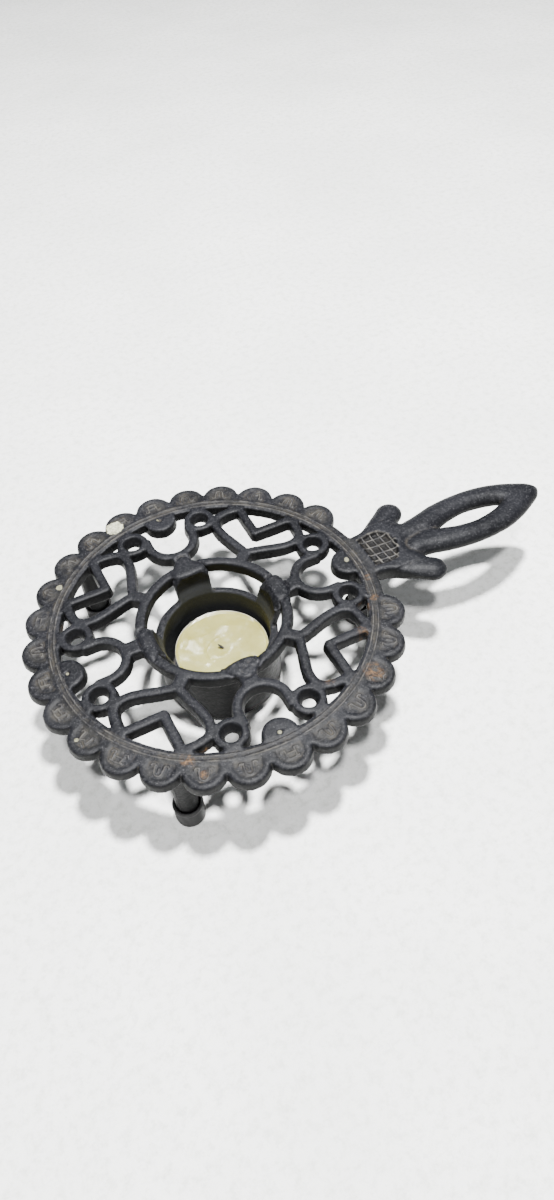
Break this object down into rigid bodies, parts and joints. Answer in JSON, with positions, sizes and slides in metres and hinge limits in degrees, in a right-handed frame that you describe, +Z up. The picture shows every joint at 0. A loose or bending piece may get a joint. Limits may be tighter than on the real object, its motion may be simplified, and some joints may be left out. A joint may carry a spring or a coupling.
{
  "type": "tealight trivet stand",
  "caption": "Cast-iron trivet with open heart pattern, scalloped rim, long looped handle, capped legs and a hung cup that holds a tealight for melting or warming wax.",
  "frame": {"origin": "on the table, directly under the axis of the candle cup, in the plane of the leg caps' soles", "axes": "+X from the cup's axis towards the handle's tip, +Z up"},
  "size_m": [0.23, 0.15, 0.04],
  "materials": {
    "cast_iron": "rough sand-cast iron, black with dusty recesses and worn edges",
    "rubber": "matte black rubber",
    "case_metal": "thin drawn foil, satin",
    "wax": "cream candle wax with a soft gloss",
    "wick": "burnt braided cotton",
    "tab_metal": "pressed tinplate"
  },
  "bodies": {
    "stand": {"trivet_plate": "cast_iron", "candle_cup": "cast_iron", "handle_leg": "cast_iron", "left_leg": "cast_iron", "right_leg": "cast_iron", "handle_leg_cap": "rubber", "left_leg_cap": "rubber", "right_leg_cap": "rubber"},
    "tealight": {"candle_case": "case_metal", "candle_wax": "wax", "candle_wick": "wick", "wick_tab": "tab_metal"}
  },
  "joints": [
    {"name": "candle_lift", "type": "slide", "parent": "stand", "child": "tealight", "axis": [0, 0, 1], "range_m": [0, 0.06]}
  ]
}
